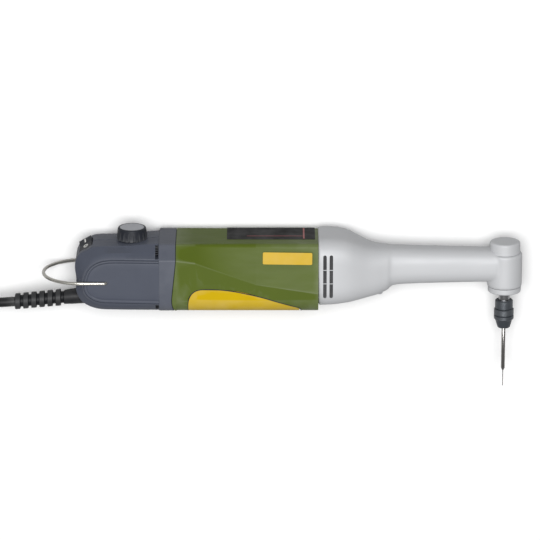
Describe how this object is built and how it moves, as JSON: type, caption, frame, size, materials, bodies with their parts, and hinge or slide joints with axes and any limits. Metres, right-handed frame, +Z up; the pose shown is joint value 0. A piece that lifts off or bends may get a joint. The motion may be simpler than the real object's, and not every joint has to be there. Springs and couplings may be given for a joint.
{
  "type": "right-angle drill",
  "caption": "Hand-held mains rotary drill with a long rigid neck, a right-angle gear head, a collet chuck with a fine drill bit, a speed knob, a rocker switch and a wire hanging bail.",
  "frame": {"origin": "on the flat side that the tool lies on, right under the motor's axis, 30 mm behind the middle of the motor housing", "axes": "+X forward to the gear head, along the motor's axis; +Y towards the speed knob, away from the drill bit; +Z up, away from the face that the tool lies on"},
  "size_m": [0.4467, 0.1182, 0.049],
  "materials": {
    "green_housing": "fine-grained moulded nylon, olive green",
    "yellow_grip": "soft-touch yellow overmould",
    "dark_label": "printed film, dark, with a thin red line",
    "yellow_badge": "domed badge without text",
    "grey_shell": "fine-grained moulded nylon, blue-grey",
    "zinc_screw": "zinc plated",
    "cast_aluminium": "satin blasted casting",
    "zinc_plate": "zinc-plated sheet",
    "magnet": "ferrite",
    "dark_plastic": "moulded",
    "bearing_steel": "ground",
    "laminated_steel": "stacked laminations",
    "copper": "enamelled copper",
    "ground_steel": "ground",
    "carbon": "carbon",
    "brass_holder": "drawn",
    "spring_steel": "spring wire",
    "gear_steel": "hardened",
    "black_oxide": "black oxide, satin",
    "bit_steel": "ground",
    "scale_disc": "printed disc",
    "board": "printed board",
    "bail_steel": "bright wire",
    "black_rubber": "moulded PVC",
    "black_cord": "extruded sheath",
    "plug_brass": "nickelled"
  },
  "bodies": {
    "root": {"motor_housing": "green_housing", "grip_inlay": "yellow_grip", "rating_label": "dark_label", "badge_plate": "yellow_badge", "rear_shell_left": "grey_shell", "rear_shell_right": "grey_shell", "rear_shell_screws": "zinc_screw", "gear_case": "cast_aluminium", "gear_case_screws": "zinc_screw", "head_cap": "cast_aluminium", "lower_bearing_cap": "cast_aluminium", "motor_can": "zinc_plate", "motor_magnets": "magnet", "motor_rear_plate": "dark_plastic", "motor_front_plate": "zinc_plate", "motor_rear_bearing": "bearing_steel", "motor_front_bearing": "bearing_steel", "carbon_brushes": "carbon", "brush_holders": "brass_holder", "brush_springs": "spring_steel", "ring_gear": "gear_steel", "gearbox_cover": "zinc_plate", "drive_shaft_rear_bearing": "bearing_steel", "drive_shaft_front_bearing": "bearing_steel", "spindle_upper_bearing": "bearing_steel", "spindle_lower_bearing": "bearing_steel", "potentiometer": "zinc_plate", "switch_body": "dark_plastic", "circuit_board": "board", "strain_relief": "black_rubber", "cord_clamp": "dark_plastic", "cord_tube": "black_cord", "cord_tail": "black_cord", "cord_coil": "black_cord", "plug_body": "black_rubber", "plug_pins": "plug_brass"},
    "rotor": {"motor_shaft": "ground_steel", "armature_core": "laminated_steel", "armature_windings": "copper", "commutator": "copper", "cooling_fan": "dark_plastic", "sun_pinion": "ground_steel"},
    "carrier": {"planet_carrier": "gear_steel", "planet_pins": "ground_steel", "drive_shaft": "ground_steel", "bevel_pinion": "gear_steel"},
    "planet_1": {"planet_gear_1": "gear_steel"},
    "planet_2": {"planet_gear_2": "gear_steel"},
    "planet_3": {"planet_gear_3": "gear_steel"},
    "spindle": {"spindle": "ground_steel", "bevel_gear": "gear_steel", "chuck_body": "black_oxide", "collet": "ground_steel"},
    "collet_nut": {"collet_nut": "black_oxide"},
    "drill_bit": {"drill_bit": "bit_steel"},
    "speed_knob": {"speed_knob": "dark_plastic", "knob_scale_disc": "scale_disc", "potentiometer_shaft": "ground_steel"},
    "switch_rocker": {"switch_rocker": "dark_plastic"},
    "bail": {"bail": "bail_steel"}
  },
  "joints": [
    {"name": "motor_spin", "type": "hinge", "parent": "root", "child": "rotor", "pos_m": [0.03, 0, 0.0245], "axis": [1, 0, 0], "continuous": true},
    {"name": "carrier_spin", "type": "hinge", "parent": "root", "child": "carrier", "pos_m": [0.096, 0, 0.0245], "axis": [1, 0, 0], "continuous": true},
    {"name": "planet_1_spin", "type": "hinge", "parent": "carrier", "child": "planet_1", "pos_m": [0.09, 0.0075, 0.0245], "axis": [1, 0, 0], "continuous": true},
    {"name": "planet_2_spin", "type": "hinge", "parent": "carrier", "child": "planet_2", "pos_m": [0.09, -0.00375, 0.031], "axis": [1, 0, 0], "continuous": true},
    {"name": "planet_3_spin", "type": "hinge", "parent": "carrier", "child": "planet_3", "pos_m": [0.09, -0.00375, 0.01801], "axis": [1, 0, 0], "continuous": true},
    {"name": "spindle_spin", "type": "hinge", "parent": "root", "child": "spindle", "pos_m": [0.185, 0, 0.0245], "axis": [0, 1, 0], "continuous": true},
    {"name": "collet_nut_turn", "type": "hinge", "parent": "spindle", "child": "collet_nut", "pos_m": [0.185, -0.03, 0.0245], "axis": [0, -1, 0], "range_deg": [0, 360]},
    {"name": "drill_bit_slide", "type": "slide", "parent": "spindle", "child": "drill_bit", "axis": [0, -1, 0], "range_m": [0, 0.006]},
    {"name": "speed_knob_turn", "type": "hinge", "parent": "root", "child": "speed_knob", "pos_m": [-0.0398, 0.018, 0.0245], "axis": [0, 1, 0], "range_deg": [-135, 135]},
    {"name": "switch_rocker_tilt", "type": "hinge", "parent": "root", "child": "switch_rocker", "pos_m": [-0.0664, 0.01057, 0.0245], "axis": [-0.866, -0.5, 0], "range_deg": [0, 14]},
    {"name": "bail_swing", "type": "hinge", "parent": "root", "child": "bail", "pos_m": [-0.055, -0.0049, 0.0245], "axis": [0, 0, -1], "range_deg": [-12, 115]}
  ],
  "couplings": [
    {"joint": "carrier_spin", "follows": "motor_spin", "ratio": 0.2},
    {"joint": "spindle_spin", "follows": "motor_spin", "ratio": -0.2},
    {"joint": "planet_1_spin", "follows": "motor_spin", "ratio": -0.53333},
    {"joint": "planet_2_spin", "follows": "motor_spin", "ratio": -0.53333},
    {"joint": "planet_3_spin", "follows": "motor_spin", "ratio": -0.53333}
  ]
}
